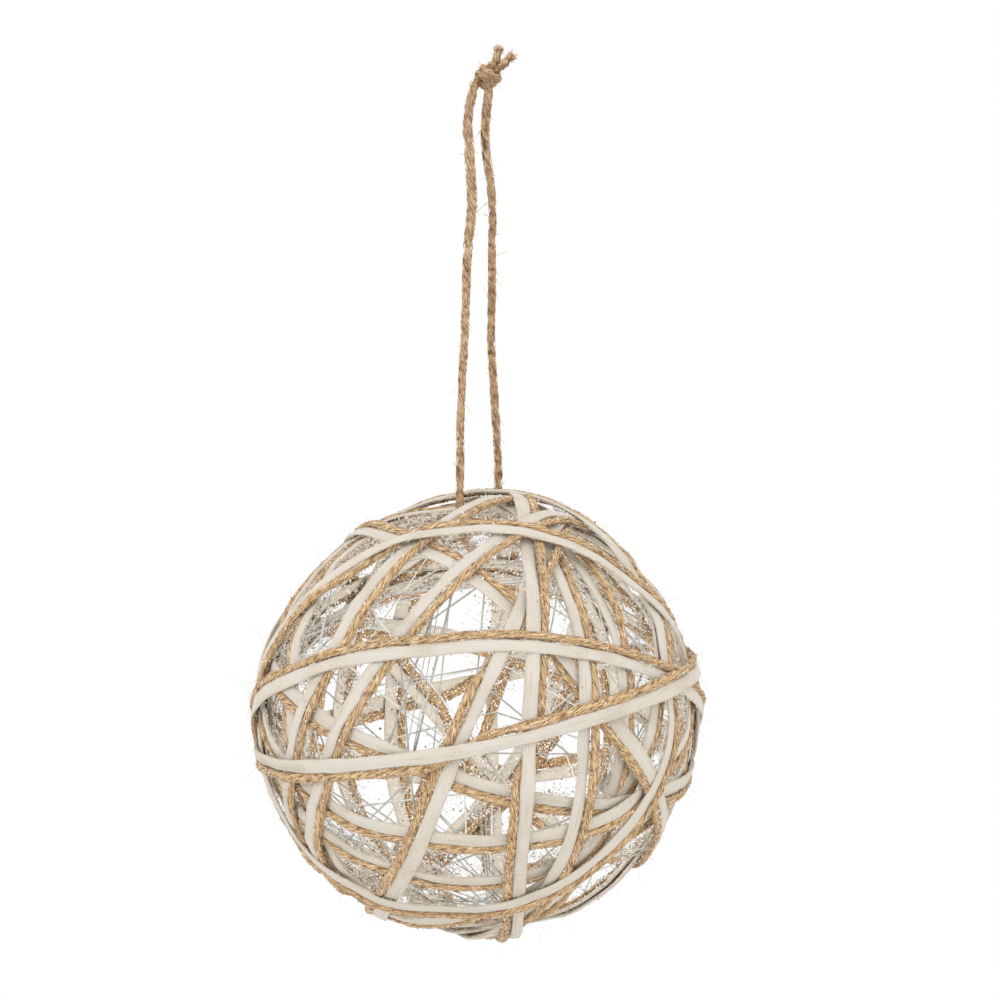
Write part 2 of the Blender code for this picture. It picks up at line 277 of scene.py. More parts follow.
def carried_frames(points):
    """Directions across an open line that turn no more than the line itself does."""
    ahead = unit(np.gradient(points, axis=0))
    side = np.cross(ahead[0], (0.0, 1.0, 0.02))
    sides = []
    for direction in ahead:
        side = unit(side - direction * (side @ direction))
        sides.append(side)
    sides = np.array(sides)
    return sides, np.cross(sides, ahead)


def at_angle(points, side, out, angle, reach, rise=None):
    """Places at an angle about a line's points, between their side and their out directions."""
    rise = reach if rise is None else rise
    return (points + side * (reach * np.cos(angle))[..., None]
            + out * (rise * np.sin(angle))[..., None])


def put(name, data, place=(0.0, 0.0, 0.0)):
    """An object with this data, in the scene."""
    made = bpy.data.objects.new(name, data)
    made.location = place
    bpy.context.scene.collection.objects.link(made)
    return made


def new_piece(name, vertices, faces, material, smooth=True, **maps):
    """A piece from its vertices and faces, with any UV maps given by name."""
    mesh = bpy.data.meshes.new(name)
    mesh.from_pydata(vertices.reshape(-1, 3).tolist(), [], faces)
    for layer, places in maps.items():
        mesh.uv_layers.new(name=layer).data.foreach_set("uv", places.ravel())
    if smooth:
        mesh.shade_smooth()
    mesh.update()
    mesh.materials.append(material)
    return put(name, mesh)


def walls(rings, after, corners):
    """Four-sided faces from each numbered ring of corners to the ring after it."""
    corner = np.arange(corners)
    beside = (corner + 1) % corners
    rings, after = rings[..., None] * corners, after[..., None] * corners
    return np.stack((rings + corner, rings + beside, after + beside, after + corner), axis=-1)


def skin(name, rings, closed, material):
    """A smooth skin over rings of points, with a UV map in millimetres along and around it."""
    count, corners = rings.shape[:2]
    row = np.arange(count if closed else count - 1)
    faces = walls(row, (row + 1) % count, corners).reshape(-1, 4).tolist()
    middle = rings.mean(axis=1)
    along = travelled(np.vstack((middle, middle[:1]))) / MM
    edge = np.linalg.norm(np.roll(rings, -1, axis=1) - rings, axis=2).mean(axis=0) / MM
    around = np.concatenate(((0.0,), edge.cumsum()))
    place = np.stack(np.meshgrid(along[:len(row) + 1], around, indexing="ij"), axis=-1)
    uv = np.stack((place[:-1, :-1], place[:-1, 1:], place[1:, 1:], place[1:, :-1]), axis=2)
    uv = uv.reshape(-1, 2)
    if not closed:
        ring = np.arange(corners)
        faces += [ring[::-1].tolist(), (ring + (count - 1) * corners).tolist()]
        uv = np.vstack((uv, np.zeros((2 * corners, 2))))
    return new_piece(name, rings, faces, material, lengthwise=uv)


def rides(piece):
    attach(piece, "root")


def stands_for(piece, solid):
    """The piece takes its solid's place."""
    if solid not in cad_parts:
        raise RuntimeError(f"the frame has no {solid}")
    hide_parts(solid)
    rides(piece)


# ---- The windings' lines ----

class Strand:
    """One closed turn of cord or twine: its directions from the ball's centre, and its radii."""

    def __init__(self, kind, turn, width, thickness, beside):
        self.kind = kind
        self.turn = turn
        self.width = width
        self.thickness = thickness
        self.beside = beside
        self.directions = self.ring(beside)
        self.radii = None

    @property
    def node(self):
        return f"{self.kind}_{self.turn:02d}"

    def ring(self, beside):
        start, end, middle, _, _ = TURNS[self.turn - 1]
        axis, offset = ring_plane(start, end, middle * MM)
        front = unit(FRONT - axis * (axis @ FRONT))
        ahead = np.cross(axis, front)
        angles = np.radians(DEGREES)[:, None]
        lift = (offset + beside)[:, None] / SHELL_RADIUS
        ring = front * np.cos(angles) + ahead * np.sin(angles)
        return lift * axis + np.sqrt(1.0 - lift * lift) * ring

    def fine_line(self, stations, wander):
        """The turn as it really lies: closer, a little astray, and straight between its bends."""
        random = np.random.default_rng(100 + self.turn)
        stray = drift(random, np.arange(STATIONS) / STATIONS, 9, wander)
        heights = HIGHEST * np.tanh((self.radii - SHELL_RADIUS) * SETTLE / HIGHEST)
        radii = SHELL_RADIUS + PROUD + heights
        points = self.ring(self.beside * NESTLED + stray) * radii[:, None]
        points = chorded(points)
        window = np.exp(-0.5 * (np.arange(-5, 6) / BEND_STATIONS) ** 2)
        window /= window.sum()
        padded = np.concatenate((points[-5:], points, points[:6]))
        smooth = np.stack([np.convolve(padded[:, k], window, mode="valid") for k in range(3)], 1)
        places = np.arange(stations) * STATIONS / stations
        return np.stack([np.interp(places, np.arange(STATIONS + 1), smooth[:, k])
                         for k in range(3)], axis=1)


def twine_sides(side, swap):
    """The side of its cord that a twine lies on, from the foremost place of the turn onwards."""
    if swap is None:
        return np.full(STATIONS, float(side))
    back = 180 - swap
    places = (0, SWAP, back - SWAP, back + SWAP, 360 - SWAP, 360)
    return side * np.interp((DEGREES - swap) % 360, places, (0, -1, -1, 1, 1, 0))


def ring_plane(start, end, middle):
    """Axis and offset of the flat ring that a turn follows round the ball."""
    crossing = (end - start) % 360
    halfway = math.radians(start + crossing / 2)
    sides = SHELL_RADIUS * math.cos(math.radians(crossing / 2))
    depth = math.sqrt(SHELL_RADIUS ** 2 - middle ** 2)
    axis = np.array((depth * math.sin(halfway), middle - sides, depth * math.cos(halfway)))
    length = float(np.linalg.norm(axis))
    return axis / length, sides * depth / length


def chorded(points):
    """A closed line again at every station, along the straight chords that follow it best."""
    count = len(points)
    stations = corners(points, CHORD_ERROR)
    shares = np.eye(len(stations))
    shares = np.vstack((shares, shares[:1]))
    places = stations + [stations[0] + count]
    spread = np.stack([np.interp(range(count), places, share) for share in shares.T], axis=1)
    return spread @ np.linalg.lstsq(spread, points, rcond=None)[0]


def corners(points, error):
    """Stations at which a closed line needs a corner for its chords to stay within error."""
    count = len(points)
    half = count // 2
    kept = {0, half}
    spans = [(0, half), (half, count)]
    while spans:
        first, last = spans.pop()
        if last - first < 2:
            continue
        start, end = points[first], points[last % count]
        between = points[first + 1:last] - start
        along = unit(end - start)
        gaps = np.linalg.norm(between - np.outer(between @ along, along), axis=1)
        worst = int(gaps.argmax())
        if gaps[worst] > error:
            middle = first + 1 + worst
            kept.add(middle)
            spans += [(first, middle), (middle, last)]
    return sorted(kept)


def eased(heights):
    step = CLIMB * SHELL_RADIUS * FULL_TURN / STATIONS
    reach = STATIONS // 4
    shifted = [np.roll(heights, k) - abs(k) * step for k in range(-reach, reach + 1)]
    return np.max(shifted, axis=0)


def pile_heights(strands):
    """How far each strand is lifted when they are laid on in this order, one over another."""
    heights = []
    for count, strand in enumerate(strands):
        height = np.zeros(STATIONS)
        for below, below_height in zip(strands[:count], heights):
            reach = (strand.width + below.width) / 2 + CROSSING_MARGIN
            over = strand.directions @ below.directions.T > math.cos(reach / SHELL_RADIUS)
            rise = (strand.thickness + below.thickness) / 2 + LAYER_GAP
            height = np.maximum(height, np.where(over, below_height + rise, 0.0).max(axis=1))
        heights.append(eased(height))
    return heights


@once
def wound_strands():
    """Every turn of cord and twine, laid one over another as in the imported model."""
    beside = (STRIP_WIDTH + TWINE_WIDTH) / 2 + PAIR_GAP
    strands = []
    for turn, (_, _, _, side, swap) in enumerate(TURNS, start=1):
        sides = twine_sides(side, swap)
        strands.append(Strand("jute_twine", turn, TWINE_WIDTH, TWINE_THICKNESS, beside * sides))
        strands.append(Strand("white_cord", turn, STRIP_WIDTH, STRIP_THICKNESS, 0.0 * sides))
    outward = pile_heights(strands)
    inward = pile_heights(strands[::-1])[::-1]
    for strand, out, pressed in zip(strands, outward, inward):
        strand.radii = SHELL_RADIUS + (out - pressed) / 2
    return strands


def strands_of(kind):
    return [strand for strand in wound_strands() if strand.kind == kind]


def ring_frames(points):
    """For a closed line about the ball's centre: ahead, aside and outward at each point."""
    ahead = unit(np.roll(points, -1, axis=0) - np.roll(points, 1, axis=0))
    side = unit(np.cross(ahead, points))
    return ahead, side, np.cross(side, ahead)


# ---- Sections ----

def cord_rings(strand, settings):
    """Rings of the folded flat cord, with its fold, its pinches and its lazy roll."""
    points = strand.fine_line(FINE_STATIONS, settings.wander)
    _, side, out = ring_frames(points)
    random = np.random.default_rng(300 + strand.turn)
    places = np.arange(FINE_STATIONS) / FINE_STATIONS
    roll = drift(random, places, 9, math.radians(7))
    width = 1.0 + drift(random, places, 40, 0.09)
    thickness = 1.0 + drift(random, places, 30, 0.15)
    fold = 0.5 + drift(random, places, 6, 0.5)
    mirror = random.choice((-1.0, 1.0))
    across = mirror * np.array(CORD_ACROSS)[None] * width[:, None] * settings.cord_width / 2
    up = np.array(CORD_UP)[None].repeat(FINE_STATIONS, axis=0)
    up[:, 5] += (1.0 - np.clip(fold, 0.0, 1.0)) * 0.3
    up = up * thickness[:, None] * settings.cord_thickness / 2
    up += random.normal(size=up.shape) * 0.012 * MM
    if mirror < 0:
        across, up = across[:, ::-1], up[:, ::-1]
    turned = across * np.cos(roll)[:, None] - up * np.sin(roll)[:, None]
    raised = across * np.sin(roll)[:, None] + up * np.cos(roll)[:, None]
    return points[:, None] + side[:, None] * turned[..., None] + out[:, None] * raised[..., None]


def twine_rings(points, side, out, width, thickness, lay_length, random, corners=14, closed=False,
                ply_depth=0.30, raggedness=0.05):
    """Rings of a two-ply twine: two lobes that turn round each other along the line."""
    count = len(points)
    reached = travelled(np.vstack((points, points[:1])) if closed else points)
    turns = reached[-1] / lay_length
    if closed:
        turns = round(turns)
    places = reached[:count] / reached[-1]
    twist = FULL_TURN * turns * places + drift(random, places, 8, 0.35)
    around = np.arange(corners) * FULL_TURN / corners
    lobe = 1.0 - ply_depth * (1.0 - np.abs(np.cos(around)) ** 0.8)
    swell = 1.0 + drift(random, places, 40, 0.09)
    rough = 1.0 + random.normal(size=(count, corners)) * raggedness
    reach = lobe * swell[:, None] * rough
    return at_angle(points[:, None], side[:, None], out[:, None], around + twist[:, None],
                    reach * width / 2, reach * thickness / 2)


# ---- Shared shader effects ----

def feed(tree, place, value):
    """Links a socket to an input, or sets the input to a plain value."""
    if isinstance(value, bpy.types.NodeSocket):
        tree.links.new(value, place)
    else:
        place.default_value = value


def node(tree, kind, **inputs):
    """A node with some of its inputs set or linked, by name or by number."""
    made = tree.nodes.new(kind)
    for key, value in inputs.items():
        key = int(key[1:]) if key.startswith("_") else key.replace("_", " ")
        feed(tree, made.inputs[key], value)
    return made


def maths(tree, operation, *values, kind="ShaderNodeMath", output=0):
    made = node(tree, kind, **{f"_{place}": value for place, value in enumerate(values)})
    made.operation = operation
    return made.outputs[output]


def remap(tree, value, low, high, to_low=0.0, to_high=1.0):
    """A value carried from one range to another, and held at its ends."""
    return node(tree, "ShaderNodeMapRange", Value=value, From_Min=low, From_Max=high,
                To_Min=to_low, To_Max=to_high).outputs[0]


def noise(tree, place, **inputs):
    return node(tree, "ShaderNodeTexNoise", Vector=place, **inputs).outputs["Fac"]


def object_place(tree, output="Object"):
    return tree.nodes.new("ShaderNodeTexCoord").outputs[output]


def uv_place(tree, layer):
    """A UV map's place, and its two coordinates."""
    made = tree.nodes.new("ShaderNodeUVMap")
    made.uv_map = layer
    apart = node(tree, "ShaderNodeSeparateXYZ", _0=made.outputs[0])
    return made.outputs[0], apart.outputs[0], apart.outputs[1]


def blend_colour(tree, amount, first, second, mode="MIX"):
    made = tree.nodes.new("ShaderNodeMix")
    made.data_type = "RGBA"
    made.blend_type = mode
    for number_in, value in ((0, amount), (6, first), (7, second)):
        feed(tree, made.inputs[number_in], value)
    return made.outputs[2]


def ramp(tree, value, *stops, smooth=True):
    """A colour ramp through (place, colour) stops."""
    made = node(tree, "ShaderNodeValToRGB", _0=value)
    made.color_ramp.interpolation = "EASE" if smooth else "CONSTANT"
    elements = made.color_ramp.elements
    while len(elements) < len(stops):
        elements.new(0.5)
    for element, (place, colour) in zip(elements, stops):
        element.position = place
        element.color = shaded(colour)
    return made.outputs[0]


def shaded(colour, shade=1.0):
    """A colour of three parts, shaded, with its full alpha."""
    return (*(part * share for part, share in zip(colour[:3], np.broadcast_to(shade, 3))), 1.0)


def grey(level):
    return (level, level, level, 1.0)


def effect(name, output, **inputs):
    """A new shader node group with named values going in and one coming out."""
    tree = bpy.data.node_groups.new(name, "ShaderNodeTree")
    for key, value in inputs.items():
        tree.interface.new_socket(name=key.replace("_", " "), in_out="INPUT",
                                  socket_type="NodeSocketFloat").default_value = value
    tree.interface.new_socket(name=output, in_out="OUTPUT", socket_type="NodeSocketFloat")
    return tree, tree.nodes.new("NodeGroupInput").outputs, tree.nodes.new("NodeGroupOutput").inputs


@once
def fibre_grain():
    """Fine streaks that run along a cord and lean across it, from the lengthwise UV map."""
    tree, given, result = effect("fibre_grain", "Streaks",
                                 Streak_Length=3.0, Streak_Width=0.12, Lean=0.0)
    _, along, across = uv_place(tree, "lengthwise")
    across = maths(tree, "ADD", across, maths(tree, "MULTIPLY", along, given["Lean"]))
    stretched = node(tree, "ShaderNodeCombineXYZ",
                     X=maths(tree, "DIVIDE", along, given["Streak Length"]),
                     Y=maths(tree, "DIVIDE", across, given["Streak Width"]))
    streaks = noise(tree, stretched.outputs[0], Scale=1.0, Detail=3.0, Roughness=0.6)
    tree.links.new(streaks, result["Streaks"])
    return tree


@once
def dusting():
    """Fine dust and specks over a piece, as a mask that varies from place to place."""
    tree, given, result = effect("dusting", "Mask", Grain=2500.0, Amount=0.3)
    place = object_place(tree)
    fine = noise(tree, place, Scale=given["Grain"], Detail=2.0, Roughness=0.7)
    broad = noise(tree, place, Scale=110.0, Detail=1.0)
    specks = remap(tree, maths(tree, "MULTIPLY", fine, broad), 0.24, 0.40)
    tree.links.new(maths(tree, "MULTIPLY", specks, given["Amount"]), result["Mask"])
    return tree


@once
def edge_shade():
    """A mask of painted shade along both edges of a flat cord, broken up along its length."""
    tree, given, result = effect("edge_shade", "Mask", Half_Girth=3.4, Reach=0.5)
    place, _, around = uv_place(tree, "lengthwise")
    quarter = maths(tree, "MULTIPLY", given["Half Girth"], 0.5)
    near = remap(tree, maths(tree, "PINGPONG", around, quarter), 0.0, given["Reach"], 1.0, 0.0)
    broken = remap(tree, noise(tree, place, Scale=0.7, Detail=3.0), 0.42, 0.62)
    tree.links.new(maths(tree, "MULTIPLY", near, broken), result["Mask"])
    return tree


@once
def facing_inward():
    """A mask of the faces that look towards the ball's centre, where painted shade goes."""
    tree, _, result = effect("facing_inward", "Mask")
    vectors = functools.partial(maths, tree, kind="ShaderNodeVectorMath")
    outward = vectors("NORMALIZE", vectors("SUBTRACT", object_place(tree), tuple(BALL_CENTRE)))
    facing = vectors("DOT_PRODUCT", outward, object_place(tree, "Normal"), output="Value")
    tree.links.new(remap(tree, facing, 0.15, -0.45), result["Mask"])
    return tree


def placed(tree, group, **values):
    """A node group placed in a material with its own values, as its one output."""
    made = tree.nodes.new("ShaderNodeGroup")
    made.node_tree = group
    for key, value in values.items():
        made.inputs[key.replace("_", " ")].default_value = value
    return made.outputs[0]


def fresh_material(name, **constants):
    """A material, its node tree and its Principled shader with constant sockets set."""
    material = bpy.data.materials.new(name)
    material.use_nodes = True
    tree = material.node_tree
    shader = tree.nodes["Principled BSDF"]
    for key, value in constants.items():
        shader.inputs[key.replace("_", " ")].default_value = value
    return material, tree, shader.inputs


def bumped(tree, shader, height, distance, strength):
    bump = node(tree, "ShaderNodeBump", Strength=strength, Distance=distance, Height=height)
    tree.links.new(bump.outputs[0], shader["Normal"])


# ---- Materials ----

PAPER_INSIDE_SHADE = (0.57, 0.53, 0.455)      # painted shade on the paper's faces that look towards the ball's centre
JUTE_INSIDE_SHADE = (0.68, 0.63, 0.57)        # and how much painted shade darkens the twine's faces that look that way
LOOP_SHADE = (0.86, 0.83, 0.89)         # the loop's twine is darker and pinker than the wound one
TARNISH = 0.62                          # how dark the wire is where it is tarnished


@once
def paper_finish():
    """Matte off-white pressed paper cord: lengthwise folds, small creases and tan dust, with painted
    shade in the folds' valleys, along both edges and on the faces that look towards the ball's centre.
    """
    look = bpy.context.scene.bauble_finish
    material, tree, shader = fresh_material("white_paper_cord", Roughness=0.75, Specular_IOR_Level=0.3)
    grain = placed(tree, fibre_grain(), Streak_Length=9.0, Streak_Width=0.5, Lean=0.01)
    creases = placed(tree, fibre_grain(), Streak_Length=0.5, Streak_Width=2.4, Lean=0.5)
    # Painted shade in the valleys of the lengthwise folds, from the same streaks that raise the bump
    folds = ramp(tree, grain, (0.30, grey(1.0)), (0.47, grey(0.10)), (0.62, grey(0.0)))
    folds = maths(tree, "MULTIPLY", folds, 0.45)
    # Painted shade along both edges of the cord
    edges = placed(tree, edge_shade(), Half_Girth=3.42, Reach=0.5)
    dust = placed(tree, dusting(), Grain=3200.0, Amount=0.5)
    colour = shaded(look.paper)
    for mask in (folds, edges, dust):
        colour = blend_colour(tree, mask, colour, shaded(look.paper_shade_and_dust))
    # Painted shade on the faces that look towards the ball's centre
    inner = maths(tree, "MULTIPLY", placed(tree, facing_inward()), 0.8)
    colour = blend_colour(tree, inner, colour, shaded(PAPER_INSIDE_SHADE))
    tree.links.new(colour, shader["Base Color"])
    height = maths(tree, "ADD", grain, maths(tree, "MULTIPLY", creases, 0.35))
    bumped(tree, shader, height, 0.30 * MM, 0.35)
    return material


@once
def jute_finish(name, shade):
    """Golden-brown jute: fibres from dark to straw that lean with the twist, with painted shade between
    the fibres, painted highlight on the raised ones and painted shade on the faces that look towards
    the ball's centre.
    """
    look = bpy.context.scene.bauble_finish
    material, tree, shader = fresh_material(name, Roughness=0.8, Specular_IOR_Level=0.25,
                                            Sheen_Weight=0.25, Sheen_Roughness=0.4)
    grain = placed(tree, fibre_grain(), Streak_Length=2.2, Streak_Width=0.26, Lean=0.14)
    coarse = placed(tree, fibre_grain(), Streak_Length=4.0, Streak_Width=0.7, Lean=0.12)
    # The streaks follow the bump: their dark end is painted shade between the fibres, their pale end
    # partly painted highlight on the raised ones
    colour = ramp(tree, grain, (0.39, shaded(look.jute_dark_and_shade, shade)),
                  (0.49, shaded(look.jute_mid, shade)), (0.62, shaded(look.jute_light_and_highlight, shade)))
    tone = ramp(tree, coarse, (0.30, grey(0.70)), (0.48, grey(1.0)), (0.75, grey(1.15)))
    colour = blend_colour(tree, 1.0, colour, tone, "MULTIPLY")
    # Painted shade on the faces that look towards the ball's centre
    inner = placed(tree, facing_inward())
    colour = blend_colour(tree, inner, colour, shaded(JUTE_INSIDE_SHADE), "MULTIPLY")
    tree.links.new(colour, shader["Base Color"])
    bumped(tree, shader, grain, 0.40 * MM, 0.8)
    return material


@once
def fibre_finish():
    """Loose jute fibre, from straw to brown along its length."""
    look = bpy.context.scene.bauble_finish
    material, tree, shader = fresh_material("loose_jute_fibre", Roughness=0.7, Specular_IOR_Level=0.3)
    spots = noise(tree, object_place(tree), Scale=700.0, Detail=1.0)
    colour = ramp(tree, spots, (0.40, look.jute_dark_and_shade), (0.48, look.jute_mid), (0.55, look.jute_light_and_highlight))
    tree.links.new(colour, shader["Base Color"])
    return material


@once
def wire_finish():
    """Dull silver wire, drawn fine, with faint tarnish."""
    look = bpy.context.scene.bauble_finish
    material, tree, shader = fresh_material("silver_wire", Metallic=0.35, Specular_IOR_Level=0.5)
    tarnish = placed(tree, dusting(), Grain=900.0, Amount=1.0)
    colour = blend_colour(tree, tarnish, shaded(look.wire), shaded(look.wire, TARNISH))
    tree.links.new(colour, shader["Base Color"])
    tree.links.new(remap(tree, tarnish, 0.0, 1.0, 0.28, 0.5), shader["Roughness"])
    return material


@once
def glitter_finish():
    """Cut foil glitter: mostly clear and silver, some gold, rose and green, and a few dark flakes,
    which are painted reflections of dark things round them.
    """
    material, tree, shader = fresh_material("glitter", Metallic=0.1, Roughness=0.2)
    _, kind, brightness = uv_place(tree, "tint")
    # The darkest flakes are painted reflections of dark things round them
    colour = ramp(
        tree, kind,
        (0.00, (0.97, 0.97, 0.97)), (0.36, (0.74, 0.76, 0.74)), (0.50, (0.90, 0.80, 0.62)),
        (0.64, (0.90, 0.70, 0.62)), (0.73, (0.66, 0.74, 0.66)), (0.78, (0.42, 0.32, 0.23)),
        (0.93, (0.22, 0.16, 0.12)), smooth=False)
    tone = ramp(tree, brightness, (0.0, grey(0.85)), (1.0, grey(1.1)))
    colour = blend_colour(tree, 1.0, colour, tone, "MULTIPLY")
    tree.links.new(colour, shader["Base Color"])
    return material


# ---- Hairs, flakes and wires ----

FLAKE_CORNERS = ((-0.5, -0.5), (0.5, -0.4), (0.5, 0.5), (-0.4, 0.5))
SCATTER = (0.8, 1.8, 3.6)               # how far the loose flakes spread round their spots, in mm
FLAKES_WITHIN = 46.5 * MM               # no loose flake is further than this from the ball's centre
TINSEL_WITHIN = 49.5 * MM               # and no tinsel thread is further than this
TINSEL_THICKNESS = 0.13 * MM
FLAKE_SPREAD = 0.3                      # how much the flakes differ in size
# The fifths of a turn's flakes that lie on its twine or on its cord, and the share outside it
GLITTERED = {"jute_twine": (3, 0.14), "white_cord": (2, 0.01)}
# The middle length, how much the lengths differ, and the longest
TINSEL_LENGTHS = (3.0 * MM, 0.4, 6 * MM)
FIBRE_LENGTHS = (2.6 * MM, 0.45, 7 * MM)
LOOP_FIBRE_LENGTHS = (1.5 * MM, 0.4)
WIRE_REACH = (18 * MM, 50 * MM)         # how far a fine wire runs from one winding to another
WIRE_GAUGES = (0.7, 1.0, 1.7)
STRAY_FIBRES = (                        # where each starts, where it ends and how it sags, in mm
    ((1.9, 3.0, -24.9), (-1.3, -3.2, -28.2), (-0.6, 0.0, -0.4)),
    ((0.5, 1.2, -8.2), (-1.5, -2.6, -11.6), (-0.2, 0.0, -0.3)),
)


def inner_lines():
    """The inner face of each winding, from the ball's centre, one row of points for each."""
    return [s.directions * (SHELL_RADIUS + (s.radii - SHELL_RADIUS) * SETTLE - s.thickness / 2)[:, None]
            for s in wound_strands()]


def gathered_spots(random, count=420):
    """Spots on the windings' inner faces where glitter and tinsel gather, with the way inward.

    They gather most round the ball's sides, top and underside, where the windings crowd.
    """
    anchors = np.concatenate(inner_lines())
    crowded = 1.3 - np.abs(anchors[:, 1]) / SHELL_RADIUS
    spots = anchors[random.choice(len(anchors), count, p=crowded / crowded.sum())]
    inward = -unit(spots)
    return spots + inward * random.uniform(0.0, 1.5, count)[:, None] * MM, inward


def thin_tubes(name, lines, thickness, material, corners=3, tip=0.35, across=(0.31, 0.22, 0.92),
               closed_ends=False):
    """Many thin tubes in one piece, each along a row of points and as fine as tip at its end."""
    total, count = lines.shape[:2]
    ahead = unit(np.gradient(lines, axis=1))
    side = unit(np.cross(ahead, across))
    radius = np.linspace(1.0, tip, count) * np.reshape(thickness, (-1, 1)) / 2
    vertices = at_angle(lines[:, :, None], side[:, :, None], np.cross(side, ahead)[:, :, None],
                        np.arange(corners) * FULL_TURN / corners, radius[..., None])
    ring = np.arange(total * count).reshape(total, count)
    faces = walls(ring[:, :-1], ring[:, 1:], corners).reshape(-1, 4).tolist()
    if closed_ends:
        corner = np.arange(corners)
        faces += (ring[:, :1] * corners + corner[::-1]).tolist()
        faces += (ring[:, -1:] * corners + corner).tolist()
    return new_piece(name, vertices, faces, material)


def hair_lines(random, roots, ahead, outward, lengths, curl, count=6):
    """Bent lines that leave their roots between the two directions and curl as they go."""
    total = len(roots)
    lean = random.uniform(0.15, 1.1, total)[:, None]
    sign = random.choice((-1.0, 1.0), total)[:, None]
    start = unit(ahead * sign + outward * lean + random.normal(size=(total, 3)) * 0.25)
    bend = unit(random.normal(size=(total, 3)))
    bend = unit(bend - start * (bend * start).sum(axis=1, keepdims=True))
    along = np.linspace(0.0, 1.0, count)[None, :, None]
    turn = (curl * random.uniform(0.3, 1.0, total))[:, None, None]
    way = start[:, None] * along + bend[:, None] * turn * along ** 2
    return roots[:, None] + way * lengths[:, None, None]


def sizes_about(random, count, middle, spread, largest=math.inf):
    """Random sizes about a middle one, a few of them much larger."""
    return np.minimum(middle * np.exp(random.normal(size=count) * spread), largest)


def flake_mesh(name, centres, normals, sizes, random, material):
    """Glitter flakes in one piece: small cut squares, each with its own tilt and tint."""
    count = len(centres)
    side = unit(np.cross(normals, unit(random.normal(size=(count, 3)))))
    up = np.cross(side, normals)
    corners = [centres + (side * x + up * y) * sizes[:, None] for x, y in FLAKE_CORNERS]
    faces = np.arange(count * 4).reshape(-1, 4).tolist()
    tints = random.uniform(size=(count, 2)).repeat(4, axis=0)
    return new_piece(name, np.stack(corners, axis=1), faces, material, smooth=False, tint=tints)


# ---- Operators: the pieces ----

VIEW_MIDDLE = (0.0043, -0.0923)         # what the camera is level with, across and up


class BAUBLE_OT_studio(bpy.types.Operator):
    """Set up the camera, the soft studio light, the white surround and the pale floor"""
    bl_idname = "bauble.studio"
    bl_label = "Studio"

    def execute(self, context):
        settings = context.scene.bauble_studio
        low, high = MODEL_BOUNDS
        lens = bpy.data.cameras.new("camera")
        lens.sensor_width = 36.0
        lens.lens = lens.sensor_width * settings.camera_distance / settings.view_width
        lens.clip_end = 50.0
        camera = put("camera", lens, (VIEW_MIDDLE[0], -settings.camera_distance, VIEW_MIDDLE[1]))
        camera.rotation_euler = (math.radians(90), 0.0, 0.0)
        context.scene.camera = camera
        self.surround(context)
        self.soft_light("key_light", (-0.75, -1.0, 0.65), 0.7, settings.key_power)
        self.soft_light("fill_light", (0.95, -0.8, 0.1), 0.8, settings.key_power / 3)
        self.inner_glow(settings.glow_power)
        self.floor(low[2] - settings.floor_drop)
        return {"FINISHED"}

    def surround(self, context):
        world = bpy.data.worlds.new("white_surround")
        context.scene.world = world
        world.use_nodes = True
        tree = world.node_tree
        seen = tree.nodes["Background"]
        seen.inputs["Color"].default_value = grey(1.0)
        seen.inputs["Strength"].default_value = 1.0
        lit = node(tree, "ShaderNodeBackground", Color=(1.0, 0.985, 0.96, 1.0), Strength=1.02)
        ray = tree.nodes.new("ShaderNodeLightPath")
        mix = node(tree, "ShaderNodeMixShader", _0=ray.outputs["Is Camera Ray"],
                   _1=lit.outputs[0], _2=seen.outputs[0])
        tree.links.new(mix.outputs[0], tree.nodes["World Output"].inputs[0])
        context.scene.view_settings.view_transform = "Standard"

    def soft_light(self, name, place, size, power):
        """A square light that looks at the bauble's middle."""
        lamp = bpy.data.lights.new(name, "AREA")
        lamp.size = size
        lamp.energy = power
        low, high = MODEL_BOUNDS
        x, y, z = place[0], place[1], place[2] - (low[2] + high[2]) / 2
        put(name, lamp, place).rotation_euler = (
            math.atan2(math.hypot(x, y), z), 0.0, math.atan2(x, -y))

    def inner_glow(self, power):
        """A soft fill in the open middle of the ball, as pale surroundings give it."""
        lamp = bpy.data.lights.new("inner_glow", "POINT")
        lamp.shadow_soft_size = 15 * MM
        lamp.energy = power
        light = put("inner_glow", lamp, BALL_CENTRE)
        light.visible_camera = False
        light.visible_glossy = False

    def floor(self, height):
        sides, radius = 96, 1.1
        angle = np.linspace(0.0, FULL_TURN, sides, endpoint=False)
        edge = np.stack((radius * np.cos(angle), radius * np.sin(angle), np.full(sides, height)), 1)
        material, tree, shader = fresh_material("pale_floor", Roughness=0.9)
        dust = placed(tree, dusting(), Grain=60.0, Amount=0.15)
        colour = blend_colour(tree, dust, shaded((0.86, 0.85, 0.83)), shaded((0.80, 0.79, 0.77)))
        tree.links.new(colour, shader["Base Color"])
        new_piece("pale_floor", edge, [list(range(sides))], material, smooth=False)


